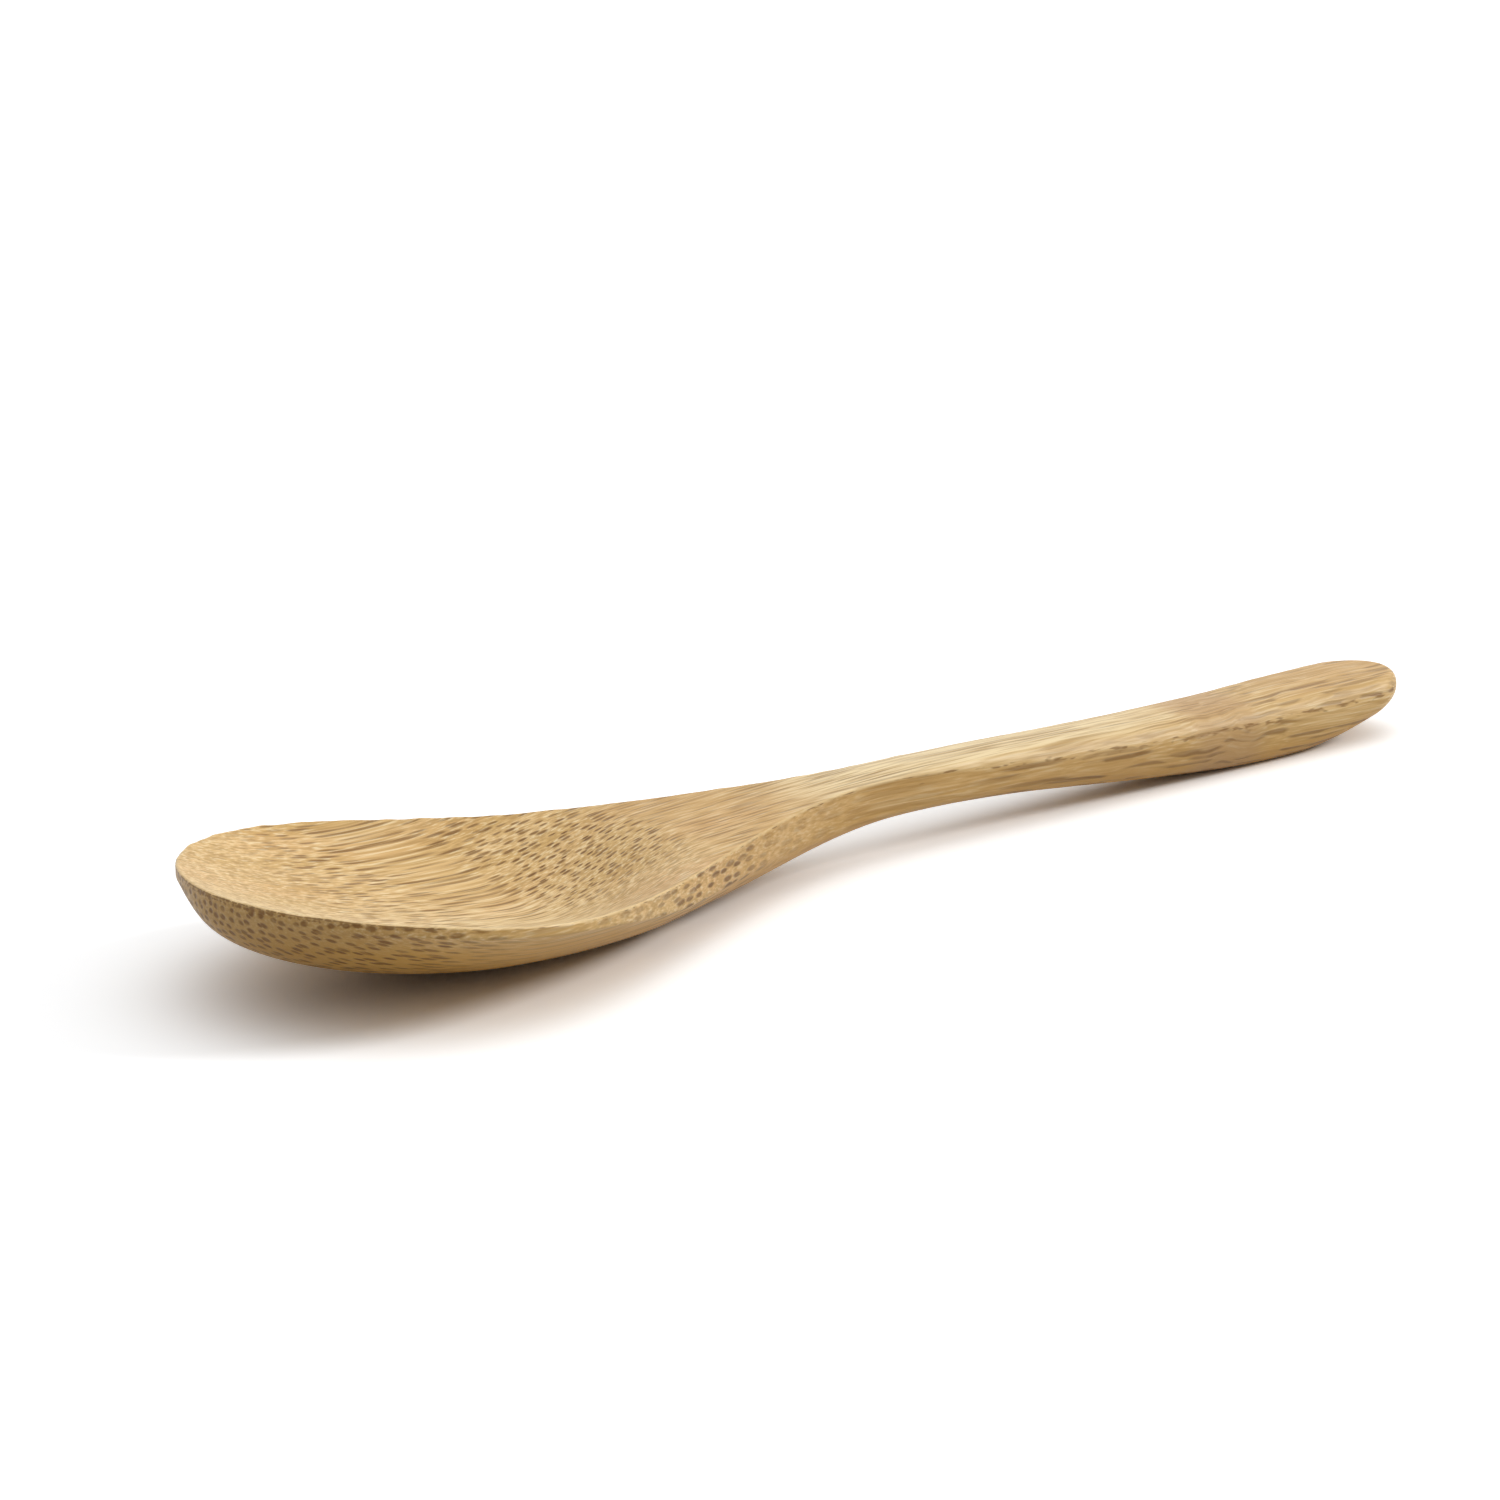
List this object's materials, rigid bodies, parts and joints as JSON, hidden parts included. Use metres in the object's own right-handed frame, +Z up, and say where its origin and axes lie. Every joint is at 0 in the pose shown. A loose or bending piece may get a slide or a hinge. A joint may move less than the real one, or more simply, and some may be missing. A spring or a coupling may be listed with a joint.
{
  "type": "serving spoon",
  "caption": "Small serving spoon carved in one piece from solid bamboo: an egg-shaped, tip-up bowl, a slim arched neck and a handle that widens to a round, thinned end.",
  "frame": {"origin": "middle of the spoon's length and width, on the table that it lies on", "axes": "+X from the bowl's tip to the handle's end, +Z up out of the bowl, +Y completes the right-handed frame"},
  "size_m": [0.15, 0.0384, 0.013],
  "materials": {
    "bamboo": "sanded and oiled solid bamboo, satin, with dark fibre streaks and dots"
  },
  "bodies": {
    "root": {"bamboo_spoon": "bamboo"}
  },
  "joints": []
}
